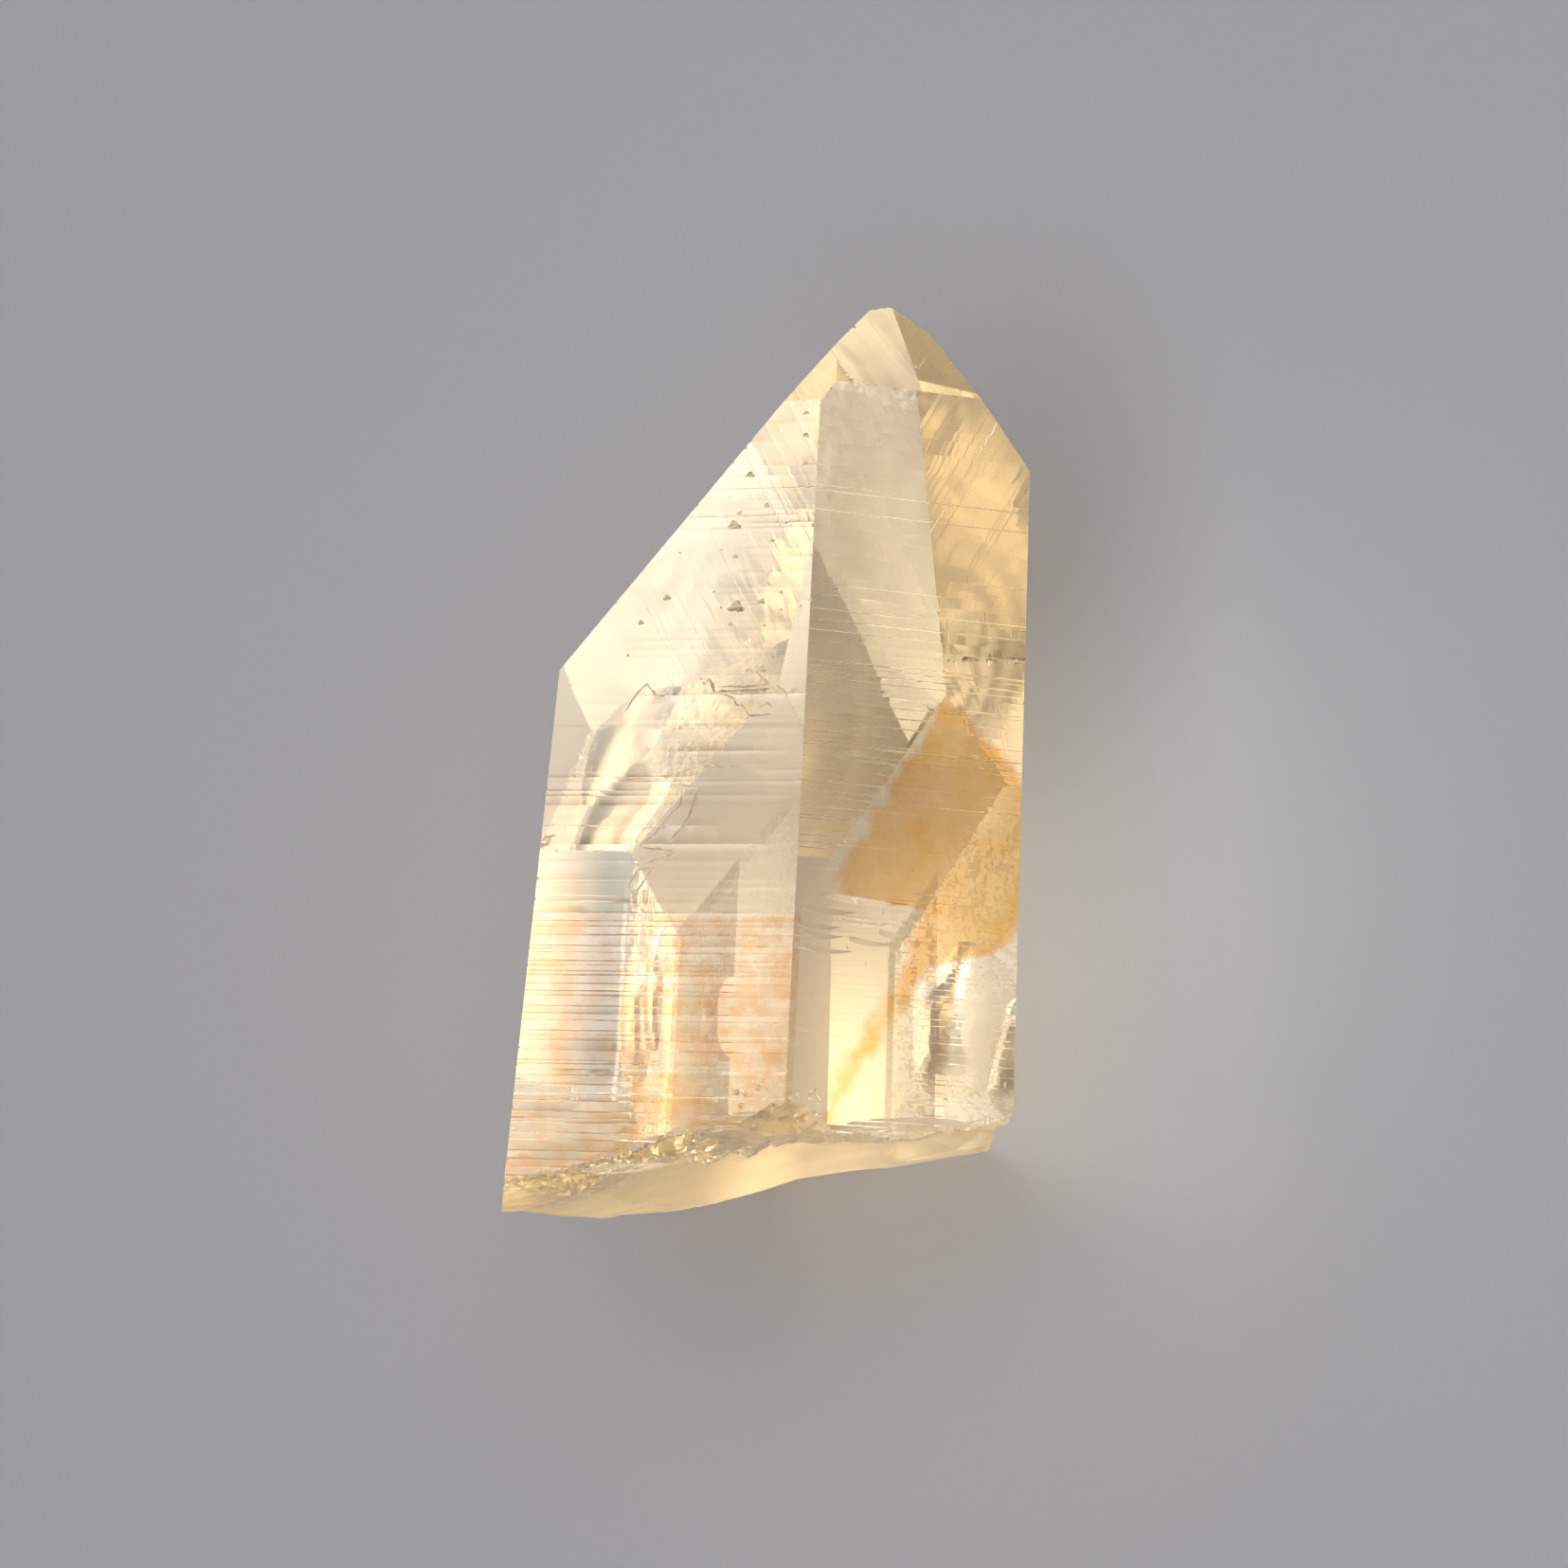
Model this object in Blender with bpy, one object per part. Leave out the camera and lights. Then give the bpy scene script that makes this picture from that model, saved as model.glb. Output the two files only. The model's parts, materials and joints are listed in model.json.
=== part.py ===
"""Golden healer quartz: one natural, tapering quartz point, lying on a prism face.

The mesh is modelled in the crystal's own frame, in metres: +Z runs up the c axis to the tip and -Y is
the side with the front edge. Azimuths turn from -Y towards +X, a sixth of a turn from face to face.
The object is then laid on the prism face named RESTING_SIDE, with its tip towards +Y.
"""
import math
import random

import bmesh
import bpy
from mathutils import Matrix, Vector

MM = 0.001

# Crystal form: the angles of quartz, and how far each natural face lies from the crystal's middle
MIDDLE = Vector((0.0, 15.0, -20.0)) * MM
TWIST = math.radians(-28.0)          # azimuth of the front left prism face
SIXTH = {"left": -1, "front_left": 0, "front_right": 1, "right": 2, "back_right": 3, "back_left": 4}
TAPER = {                            # how far each prism face leans in towards the tip, in degrees
    "left": 3.7, "front_left": 3.4, "front_right": 2.7,
    "right": 0.45, "back_right": 1.5, "back_left": 1.5,
}
PRISM_DISTANCE = {
    "left": 13.77, "front_left": 13.05, "front_right": 13.47,
    "right": 13.34, "back_right": 17.50, "back_left": 16.64,
}
RHOMB_SLOPE = math.radians(38.21)    # elevation of a rhombohedral face's normal
RHOMB_DISTANCE = {
    "left": 14.62, "front_left": 22.83, "front_right": 24.08,
    "right": 22.32, "back_right": 15.02, "back_left": 11.18,
}
CORNER_SLOPE = math.radians(24.4)    # a small face that takes off the corner between the back faces
CORNER_SIXTH = 3.5
CORNER_DISTANCE = 14.64
RESTING_SIDE = "back_right"

# Tip and broken end
TIP_SPOT = Vector((4.6, 8.5, 8.45)) * MM
TIP_LEAN = Vector((-0.25, -0.1, 1.0))
BREAK_LEVEL = -40.8 * MM             # mean level of the broken end along the c axis
BREAK_RISE = (0.17, -0.055)          # how the break rises towards +X and +Y
BREAK_CELLS = 34                     # facets across the break, each way
BREAK_REACH = 26.0 * MM              # half the width of the block that is broken off
BREAK_JITTER = 0.12 * MM
SCARS = {                            # flake scars: centre x and y, radius, depth (a bulge is negative)
    "front edge": (1.0, -3.0, 4.2, 2.1), "front right": (8.5, 3.0, 6.5, -0.9), "front left": (-4.5, 0.0, 5.0, 0.8),
    "left": (-13.5, 16.0, 7.0, -0.9), "middle": (1.5, 19.0, 11.0, 1.7), "back": (4.0, 37.5, 7.0, 0.8),
    "right": (15.0, 19.0, 6.5, 0.7), "back left": (-7.0, 29.0, 9.0, -1.0),
}
RIPPLES = 4                          # shell-like ripples from the middle of a scar to its rim
RIPPLE_SHARE = 0.07                  # ripple height as a share of the scar's depth

# Growth ledges run across the prism faces: how many, how far each steps in, how tall it is
LEDGES = {"left": 9, "front_left": 9, "front_right": 15, "right": 12, "back_left": 8}
LEDGE_DEPTH = (0.05 * MM, 0.14 * MM)
LEDGE_HEIGHT = (0.5 * MM, 2.2 * MM)
LEDGE_SPAN = (-21.5 * MM, 26.0 * MM)

# Etch pits on the front left face: how far across and up from the foot of the middle, and size, in mm
PITS = (
    (6.7, 20.4, 0.32), (6.8, 19.2, 0.36), (6.9, 17.6, 0.28), (3.4, 17.0, 0.48), (4.6, 15.2, 0.36),
    (2.6, 14.1, 0.6), (5.9, 14.2, 0.22), (5.1, 13.2, 0.28), (-0.8, 12.6, 0.22), (2.8, 12.3, 0.32),
    (-1.4, 10.0, 0.42), (-3.0, 8.6, 0.36), (4.7, 9.7, 0.42), (5.9, 10.2, 0.26), (3.1, 9.4, 0.7),
    (2.8, 8.3, 0.28), (5.0, 8.3, 0.24), (7.2, 9.4, 0.22), (5.7, 6.6, 0.24), (-3.7, 6.7, 0.24),
)
PIT_DEPTH = 0.45                     # depth as a share of the size

# Other marks, placed the same way on their face
ETCHED_STEPS = (                     # lower outline of each zigzag shelf; it runs out upwards
    ((1.0, 5.3), (1.8, 5.1), (2.1, 4.6), (5.6, 4.6), (6.8, 4.4), (6.6, 5.9), (1.4, 6.1)),
    ((2.2, 4.4), (3.2, 4.1), (3.6, 3.7), (4.0, 3.6), (4.4, 3.1), (5.7, 3.2), (6.8, 3.5), (6.7, 4.2)),
)
ETCHED_DEPTH = 0.16 * MM
SCRATCHES = ((0.9, 0.2), (-0.2, -2.1), (-1.2, -4.4), (-2.2, -6.4))
SCRATCH_TURN = math.radians(65.0)
SCRATCH_DEPTH = 0.1 * MM
CHEVRONS = ((-5.6, -6.9, 5.7), (-4.7, -8.1, 3.1), (-6.9, -8.9, 2.4), (-6.9, -9.8, 3.1))  # x, y, length
CHEVRON_DEPTH = 0.13 * MM

# Chips along the edges
CHIP_COUNT = 84
CHIP_SIZE = (0.12 * MM, 0.34 * MM)
BIG_CHIPS = {                        # face, across, up, size in mm
    "left edge": ("front_left", -8.2, -4.0, 0.95), "top step": ("front_left", 7.7, 20.9, 0.4),
    "base of front edge": ("front_left", 8.0, -18.9, 0.9), "right foot": ("front_right", 7.5, -19.3, 1.0),
    "left shoulder": ("front_left", -8.3, 5.6, 0.35), "slope notch": ("front_left", -1.3, 14.1, 0.35),
}
OUTSIDE = 0.2 * MM                   # how far a cutter stands clear of the surface
SEED = 11

dice = random.Random(SEED)


def normal_of(sixths, slope):
    azimuth = TWIST + math.radians(60.0) * sixths
    flat = math.cos(slope)
    return Vector((math.sin(azimuth) * flat, -math.cos(azimuth) * flat, math.sin(slope)))


def natural_faces():
    """Each natural face's outward normal, and the foot of the middle on it."""
    faces = {}
    for side, sixth in SIXTH.items():
        prism = normal_of(sixth, math.radians(TAPER[side]))
        faces["prism", side] = (prism, MIDDLE + prism * PRISM_DISTANCE[side] * MM)
        rhomb = normal_of(sixth, RHOMB_SLOPE)
        faces["rhomb", side] = (rhomb, MIDDLE + rhomb * RHOMB_DISTANCE[side] * MM)
    corner = normal_of(CORNER_SIXTH, CORNER_SLOPE)
    faces["corner", "back"] = (corner, MIDDLE + corner * CORNER_DISTANCE * MM)
    return faces


FACES = natural_faces()


def cut_back(bm, foot, normal):
    """Cuts away what lies beyond a plane, and closes the cut."""
    geometry = bm.verts[:] + bm.edges[:] + bm.faces[:]
    cut = bmesh.ops.bisect_plane(
        bm, geom=geometry, dist=1e-7, plane_co=foot, plane_no=normal, clear_outer=True)["geom_cut"]
    edges = [item for item in cut if isinstance(item, bmesh.types.BMEdge)]
    if edges:
        bmesh.ops.edgeloop_fill(bm, edges=edges)


def crystal_blank():
    """The perfect crystal: a block cut back to every natural face and to the worn tip."""
    bm = bmesh.new()
    bmesh.ops.create_cube(bm, size=120.0 * MM)
    for normal, foot in FACES.values():
        cut_back(bm, foot, normal)
    cut_back(bm, TIP_SPOT, TIP_LEAN.normalized())
    bmesh.ops.remove_doubles(bm, verts=bm.verts, dist=1e-6)
    bmesh.ops.recalc_face_normals(bm, faces=bm.faces)
    return bm


def frame_of(face):
    """Turns (across, up, out) on a face into the crystal's frame."""
    normal, foot = FACES[face]
    across = Vector((0.0, 0.0, 1.0)).cross(normal).normalized()
    up = normal.cross(across)
    turn = Matrix((across, up, normal)).transposed().to_4x4()
    return Matrix.Translation(foot) @ turn


def add_solid(bm, floor, roof):
    """A closed cutter between two outlines with the same number of corners."""
    low = [bm.verts.new(corner) for corner in floor]
    high = [bm.verts.new(corner) for corner in roof]
    bm.faces.new(low)
    bm.faces.new(high)
    for i in range(len(low)):
        j = (i + 1) % len(low)
        bm.faces.new((low[i], low[j], high[j], high[i]))


def add_shelf(bm, frame, outline, top, bottom, depth):
    """A shelf cut into a face: its floor leaves the surface at top and is deepest at bottom."""
    slope = depth / (top - bottom)
    floor = [frame @ Vector((x, y, (y - top) * slope)) for x, y in outline]
    roof = [frame @ Vector((x, y, OUTSIDE)) for x, y in outline]
    add_solid(bm, floor, roof)


def extent_on(bm, face):
    """How far a face of the blank reaches across and up, in its own frame."""
    normal, foot = FACES[face]
    inverse = frame_of(face).inverted()
    on_face = [inverse @ v.co for v in bm.verts if abs((v.co - foot).dot(normal)) < 0.001 * MM]
    across = [point.x for point in on_face]
    up = [point.y for point in on_face]
    return min(across), max(across), min(up), max(up)


def add_ledges(bm, blank):
    """Growth ledges: thin wedges taken off right across a prism face."""
    for side, count in LEDGES.items():
        frame = frame_of(("prism", side))
        left, right, low, high = extent_on(blank, ("prism", side))
        left -= 1.0 * MM
        right += 1.0 * MM
        high = min(high, LEDGE_SPAN[1])
        room = (high - max(low, LEDGE_SPAN[0])) / count
        for i in range(count):
            top = high - room * (i + dice.uniform(0.15, 0.25))
            height = min(dice.uniform(*LEDGE_HEIGHT), 0.65 * room)
            bottom = top - height
            over = top + 0.1 * height
            outline = ((left, bottom), (right, bottom), (right, over), (left, over))
            add_shelf(bm, frame, outline, top, bottom, dice.uniform(*LEDGE_DEPTH))


def add_pits(bm):
    """Three-cornered etch pits on the front left face."""
    frame = frame_of(("prism", "front_left"))
    for across, up, size in PITS:
        middle = Vector((across, up, 0.0)) * MM
        start = dice.uniform(-0.4, 0.4)
        rim = []
        for i in range(3):
            angle = start + math.radians(120.0 * i - 90.0)
            reach = 0.5 * size * MM * dice.uniform(0.9, 1.3)
            rim.append(middle + Vector((math.cos(angle), 0.7 * math.sin(angle), 0.0)) * reach)
        deep = middle - Vector((0.0, 0.0, PIT_DEPTH * size * MM))
        tip = bm.verts.new(frame @ deep)
        top = [bm.verts.new(frame @ (deep + (point - deep) * 1.6)) for point in rim]
        bm.faces.new(top)
        for i in range(3):
            bm.faces.new((tip, top[i], top[(i + 1) % 3]))


def add_marks(bm):
    """The zigzag etched shelves and slanting scratches on the left, pointed steps on the right."""
    frame = frame_of(("prism", "front_left"))
    for outline in ETCHED_STEPS:
        corners = [(x * MM, y * MM) for x, y in outline]
        rows = [y for x, y in corners]
        high = max(rows)
        low = min(rows)
        add_shelf(bm, frame, corners, high - 0.2 * (high - low), low, ETCHED_DEPTH)
    for x, y in SCRATCHES:
        turned = frame @ Matrix.Translation((x * MM, y * MM, 0.0)) @ Matrix.Rotation(SCRATCH_TURN, 4, "Z")
        outline = ((-1.2 * MM, 0.0), (1.2 * MM, 0.1 * MM), (1.0 * MM, 0.5 * MM), (-0.8 * MM, 0.4 * MM))
        add_shelf(bm, turned, outline, 0.35 * MM, 0.0, SCRATCH_DEPTH)
    frame = frame_of(("prism", "front_right"))
    for x, y, length in CHEVRONS:
        outline = ((x, y - 0.5), (x + 0.55 * length, y - 0.6), (x + length, y - 0.3),
                   (x + 0.6 * length, y + 0.1), (x + 0.1 * length, y + 0.15))
        corners = [(across * MM, up * MM) for across, up in outline]
        add_shelf(bm, frame, corners, (y + 0.05) * MM, (y - 0.6) * MM, CHEVRON_DEPTH)


def add_chip(bm, middle, size):
    """A small four-sided splinter, turned at random."""
    turn = Matrix.Rotation(dice.uniform(0.0, math.tau), 3, Vector([dice.gauss(0, 1) for _ in range(3)]))
    corners = ((1.0, 1.0, 1.0), (1.0, -1.0, -1.0), (-1.0, 1.0, -1.0), (-1.0, -1.0, 1.0))
    verts = []
    for corner in corners:
        stretched = Vector([value * dice.uniform(0.7, 1.3) for value in corner])
        verts.append(bm.verts.new(middle + turn @ stretched * size))
    for i in range(4):
        bm.faces.new([v for j, v in enumerate(verts) if j != i])


def add_chips(bm, blank):
    """Chips knocked out of the edges, more of them on the longer edges."""
    edges = [edge for edge in blank.edges if edge.calc_length() > 1.0 * MM]
    edges = [edge for edge in edges if max(v.co.z for v in edge.verts) > BREAK_LEVEL]
    lengths = [edge.calc_length() for edge in edges]
    placed = []
    for face, across, up, size in BIG_CHIPS.values():
        middle = frame_of(("prism", face)) @ Vector((across * MM, up * MM, 0.25 * size * MM))
        placed.append((middle, size * MM))
        add_chip(bm, middle, 0.6 * size * MM)
    while len(placed) < CHIP_COUNT:
        edge = dice.choices(edges, lengths)[0]
        spot = edge.verts[0].co.lerp(edge.verts[1].co, dice.random())
        size = dice.uniform(*CHIP_SIZE) * dice.uniform(0.5, 1.0)
        outward = (edge.link_faces[0].normal + edge.link_faces[1].normal).normalized()
        near = any((spot - other).length < 2.0 * (size + reach) for other, reach in placed)
        if near or spot.z < BREAK_LEVEL + 1.5 * MM:
            continue
        placed.append((spot, size))
        add_chip(bm, spot + outward * 0.55 * size, size)


def break_height(x, y):
    """Level of the broken end: a tilted surface with shell-shaped flake scars."""
    z = BREAK_LEVEL + BREAK_RISE[0] * x + BREAK_RISE[1] * (y - MIDDLE.y)
    for scar_x, scar_y, radius, depth in SCARS.values():
        share = math.hypot(x - scar_x * MM, y - scar_y * MM) / (radius * MM)
        if share < 1.0:
            ripple = RIPPLE_SHARE * math.sin(share * math.tau * RIPPLES)
            z += depth * MM * ((1.0 - share * share) + ripple * (1.0 - share))
    return z


def break_cutter():
    """The block that is broken off, with the fracture as its top."""
    bm = bmesh.new()
    bmesh.ops.create_grid(bm, x_segments=BREAK_CELLS, y_segments=BREAK_CELLS, size=BREAK_REACH)
    surface = bm.verts[:]
    for v in surface:
        v.co.x += dice.uniform(-0.25, 0.25) * MM
        v.co.y += MIDDLE.y + dice.uniform(-0.25, 0.25) * MM
        v.co.z = break_height(v.co.x, v.co.y) + dice.uniform(-1.0, 1.0) * BREAK_JITTER
    lower = bmesh.ops.extrude_face_region(bm, geom=bm.faces[:])["geom"]
    for item in lower:
        if isinstance(item, bmesh.types.BMVert):
            item.co.z = BREAK_LEVEL - 25.0 * MM
    bmesh.ops.triangulate(bm, faces=bm.faces)
    return bm


def new_object(name, bm):
    bmesh.ops.recalc_face_normals(bm, faces=bm.faces)
    mesh = bpy.data.meshes.new(name)
    bm.to_mesh(mesh)
    bm.free()
    obj = bpy.data.objects.new(name, mesh)
    bpy.context.scene.collection.objects.link(obj)
    return obj


def cut_with(target, name, bm):
    """Hides the cutter and takes it out of the target with a Boolean."""
    cutter = new_object(name, bm)
    cutter.hide_render = True
    cutter.display_type = "WIRE"
    cutter.parent = target
    boolean = target.modifiers.new(name, "BOOLEAN")
    boolean.operation = "DIFFERENCE"
    boolean.solver = "EXACT"
    boolean.use_self = True
    boolean.object = cutter


def quartz():
    """Clear quartz with a faint golden tint."""
    material = bpy.data.materials.new("Golden quartz")
    material.use_nodes = True
    shader = material.node_tree.nodes["Principled BSDF"]
    shader.inputs["Base Color"].default_value = (0.91, 0.80, 0.55, 1.0)
    shader.inputs["Roughness"].default_value = 0.04
    shader.inputs["Metallic"].default_value = 0.0
    shader.inputs["IOR"].default_value = 1.544
    shader.inputs["Transmission Weight"].default_value = 1.0
    return material


def lay_down(obj):
    """Turns the crystal onto its resting face, tip towards +Y, and sets its box on the origin."""
    down = FACES["prism", RESTING_SIDE][0]
    axis = Vector((0.0, 0.0, 1.0))
    ahead = (axis - down * axis.dot(down)).normalized()
    side = ahead.cross(-down)
    turn = Matrix((side, ahead, -down)).to_4x4()
    obj.matrix_world = turn
    bpy.context.view_layer.update()
    evaluated = obj.evaluated_get(bpy.context.evaluated_depsgraph_get())
    corners = [turn @ v.co for v in evaluated.data.vertices]
    low = [min(corner[i] for corner in corners) for i in range(3)]
    high = [max(corner[i] for corner in corners) for i in range(3)]
    move = Vector((-(low[0] + high[0]) / 2.0, -(low[1] + high[1]) / 2.0, -low[2]))
    obj.matrix_world = Matrix.Translation(move) @ turn
    bpy.context.view_layer.update()


def build():
    for obj in list(bpy.context.scene.objects):
        bpy.data.objects.remove(obj, do_unlink=True)
    blank = crystal_blank()
    ledges = bmesh.new()
    add_ledges(ledges, blank)
    marks = bmesh.new()
    add_marks(marks)
    pits = bmesh.new()
    add_pits(pits)
    chips = bmesh.new()
    add_chips(chips, blank)
    crystal = new_object("crystal", blank)
    cut_with(crystal, "growth ledges", ledges)
    cut_with(crystal, "etched marks", marks)
    cut_with(crystal, "etch pits", pits)
    cut_with(crystal, "edge chips", chips)
    cut_with(crystal, "broken end", break_cutter())
    crystal.data.materials.append(quartz())
    lay_down(crystal)


build()
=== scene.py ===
# %% [markdown]
# # A golden healer quartz
#
# This is one natural quartz crystal: a six-sided, tapering point about 53 mm long, with a faint golden
# tint, a broken lower end and a golden film of iron oxide on one side. It was picked from the rock, so
# nothing on it was cut or polished. The crystal lies on one of its prism faces. We first load the model
# that it replaces, and keep that model's box, because the finer crystal has to stay inside it.

# %% Load the frame
import json
import math
import random

import bmesh
import bpy
import numpy as np
from mathutils import Matrix, Vector, noise

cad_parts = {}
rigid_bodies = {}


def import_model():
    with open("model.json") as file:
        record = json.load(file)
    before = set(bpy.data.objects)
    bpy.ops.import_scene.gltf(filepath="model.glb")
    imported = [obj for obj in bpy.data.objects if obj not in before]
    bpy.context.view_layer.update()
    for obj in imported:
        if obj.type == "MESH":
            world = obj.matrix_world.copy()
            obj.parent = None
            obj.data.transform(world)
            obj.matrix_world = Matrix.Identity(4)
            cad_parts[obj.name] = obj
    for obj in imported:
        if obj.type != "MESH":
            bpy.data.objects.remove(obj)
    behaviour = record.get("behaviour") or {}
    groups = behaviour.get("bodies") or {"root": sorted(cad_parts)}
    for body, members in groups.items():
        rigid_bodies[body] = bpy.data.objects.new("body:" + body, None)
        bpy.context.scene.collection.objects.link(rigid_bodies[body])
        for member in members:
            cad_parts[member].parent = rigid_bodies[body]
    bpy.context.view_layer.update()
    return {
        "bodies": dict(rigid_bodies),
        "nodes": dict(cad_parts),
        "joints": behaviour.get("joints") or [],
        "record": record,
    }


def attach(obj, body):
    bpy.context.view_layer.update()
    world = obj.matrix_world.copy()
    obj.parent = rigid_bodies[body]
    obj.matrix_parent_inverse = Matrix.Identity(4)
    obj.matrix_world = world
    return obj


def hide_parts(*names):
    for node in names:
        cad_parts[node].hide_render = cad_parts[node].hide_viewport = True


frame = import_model()

# %% [markdown]
# ## The faces of the crystal
#
# Quartz always grows with the same angles between its faces: six prism faces stand around its long
# axis, and a rhombohedral face slopes in above each of them. What differs from crystal to crystal is how
# far each face lies from the middle, so those distances are all that we write down. In the crystal's own
# frame its axis is +Z and the edge between the two front faces looks towards -Y.

# %% Faces of the crystal
MM = 0.001
MIDDLE = Vector((0.0, 15.0, -20.0)) * MM
TWIST = math.radians(-28.0)  # how far the first front face is turned from the front
# for each side: sixths of a turn from the first front face, how far its prism face leans in, in degrees,
# and how far its prism face and its rhombohedral face are from the middle, in mm
SIDES = {
    "left": (-1, 3.7, 13.77, 14.62), "front_left": (0, 3.4, 13.05, 22.83),
    "front_right": (1, 2.7, 13.47, 24.08), "right": (2, 0.45, 13.34, 22.32),
    "back_right": (3, 1.5, 17.50, 15.02), "back_left": (4, 1.5, 16.64, 11.18),
}
RHOMB_SLOPE = math.radians(38.21)  # elevation of a rhombohedral face's normal
CORNER_SLOPE = math.radians(24.4)  # a small face across the corner between the two back faces
CORNER_SIXTH = 3.5
CORNER_DISTANCE = 14.64
TIP_SPOT = Vector((4.6, 8.5, 8.45)) * MM
TIP_LEAN = Vector((-0.25, -0.1, 1.0)).normalized()
RESTING_SIDE = "back_right"

dice = random.Random(7)


def normal_of(sixths, slope):
    azimuth = TWIST + math.radians(60.0) * sixths
    flat = math.cos(slope)
    return Vector((math.sin(azimuth) * flat, -math.cos(azimuth) * flat, math.sin(slope)))


FACES = {}
for side, (sixths, lean, prism_distance, rhomb_distance) in SIDES.items():
    prism = normal_of(sixths, math.radians(lean))
    FACES["prism", side] = (prism, MIDDLE + prism * prism_distance * MM)
    rhomb = normal_of(sixths, RHOMB_SLOPE)
    FACES["rhomb", side] = (rhomb, MIDDLE + rhomb * rhomb_distance * MM)
corner = normal_of(CORNER_SIXTH, CORNER_SLOPE)
FACES["corner", "back"] = (corner, MIDDLE + corner * CORNER_DISTANCE * MM)
print("natural faces:", len(FACES))

# %% [markdown]
# ## Cutting the blank
#
# A gem cutter would grind a block back to one plane after another, and so do we: a big cube is cut back
# to each face in turn, and each cut is closed again. `frame_of` gives each face its own directions across
# it, up it and out of it, so that marks can be placed in millimetres on the face.

# %% Cut the block back
BLOCK = 120.0 * MM


def cut_back(bm, foot, normal):
    """Cuts away what lies beyond a plane, and closes the cut."""
    geometry = bm.verts[:] + bm.edges[:] + bm.faces[:]
    cut = bmesh.ops.bisect_plane(
        bm, geom=geometry, dist=1e-7, plane_co=foot, plane_no=normal, clear_outer=True)["geom_cut"]
    edges = [item for item in cut if isinstance(item, bmesh.types.BMEdge)]
    if edges:
        bmesh.ops.edgeloop_fill(bm, edges=edges)


def crystal_blank():
    bm = bmesh.new()
    bmesh.ops.create_cube(bm, size=BLOCK)
    for normal, foot in FACES.values():
        cut_back(bm, foot, normal)
    cut_back(bm, TIP_SPOT, TIP_LEAN)
    bmesh.ops.remove_doubles(bm, verts=bm.verts, dist=1e-6)
    bmesh.ops.recalc_face_normals(bm, faces=bm.faces)
    return bm


def frame_of(face):
    """Turns (across, up, out) on a face into the crystal's frame."""
    normal, foot = FACES[face]
    across = Vector((0.0, 0.0, 1.0)).cross(normal).normalized()
    up = normal.cross(across)
    turn = Matrix((across, up, normal)).transposed().to_4x4()
    return Matrix.Translation(foot) @ turn


blank = crystal_blank()
left_frame = frame_of(("prism", "front_left"))
right_frame = frame_of(("prism", "front_right"))
edges_of_blank = []  # start, end and the normals of both sides, for the chips later on
for edge in blank.edges:
    if edge.calc_length() > 1.0 * MM and max(v.co.z for v in edge.verts) > -40.0 * MM:
        sides = [face.normal.copy() for face in edge.link_faces]
        edges_of_blank.append((edge.verts[0].co.copy(), edge.verts[1].co.copy(), sides))
print("corners of the perfect crystal:", len(blank.verts), "edges that can chip:", len(edges_of_blank))

# %% [markdown]
# ## Growth striations
#
# Fine grooves run right across every prism face, because the crystal grew in layers that stepped in and
# out by a few hundredths of a millimetre. They catch the light, and blur what is seen through them. We
# slice each prism face into flat treads with a narrow groove below each, and split these rows into
# shorter lengths.

# %% Slice the prism faces into rows
TREAD = (0.12 * MM, 0.55 * MM)  # height of a flat tread
GROOVE = (0.025 * MM, 0.055 * MM)  # height of each side of a groove
COLUMN = 0.9 * MM  # usual length of one piece of a row
LOWEST_ROW = -47.0 * MM  # rows stop below the broken end


def cut_across(bm, faces, foot, axis, place):
    """Cuts a plane through these faces, and returns the faces on its far and near side."""
    geometry = set(faces)
    for face in faces:
        geometry.update(face.edges)
        geometry.update(face.verts)
    cut = bmesh.ops.bisect_plane(
        bm, geom=list(geometry), dist=1e-8, plane_co=foot + axis * place, plane_no=axis)
    far = []
    near = []
    for item in cut["geom"]:
        if isinstance(item, bmesh.types.BMFace):
            beyond = (item.calc_center_median() - foot).dot(axis) > place
            (far if beyond else near).append(item)
    return far, near


def lies_on(face, normal, foot):
    return face.normal.dot(normal) > 0.99999 and abs((face.verts[0].co - foot).dot(normal)) < 5e-7


def slice_face(bm, side):
    """Cuts one prism face into rows and columns; returns the levels between the rows, and the piece count."""
    normal, foot = FACES["prism", side]
    across_axis, up_axis = frame_of(("prism", side)).to_3x3().transposed()[:2]
    left = [f for f in bm.faces if lies_on(f, normal, foot)]
    level = max((v.co - foot).dot(up_axis) for f in left for v in f.verts)
    bottom = LOWEST_ROW - foot.z
    levels = [level]
    faces = []
    while level > bottom:
        level -= dice.uniform(*(TREAD if len(levels) % 3 == 1 else GROOVE))
        levels.append(level)
        above, left = cut_across(bm, left, foot, up_axis, level)
        faces += above
    places = [(v.co - foot).dot(across_axis) for f in faces for v in f.verts]
    place = min(places)
    while place < max(places):
        place += COLUMN * dice.uniform(0.6, 1.4)
        crossed = set()
        for face in faces:
            spread = [(v.co - foot).dot(across_axis) for v in face.verts]
            if min(spread) < place < max(spread):
                crossed.add(face)
        if crossed:
            far, near = cut_across(bm, list(crossed), foot, across_axis, place)
            faces = [f for f in faces if f not in crossed] + far + near
    return levels, len(faces)


levels_on = {}
for side in SIDES:
    levels_on[side], count = slice_face(blank, side)
    print(side, "levels:", len(levels_on[side]), "pieces:", count)

# %% [markdown]
# ### How deep each row lies
#
# Each level gets a height for every place along it. A slow noise lets the grooves fade out and start
# again, and now and then a tread stands a little lower than the last. Grooves are strong on some parts
# of a face and almost gone on others, so their strength is a curve over the level. Nothing stands proud
# of the perfect face.

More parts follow.
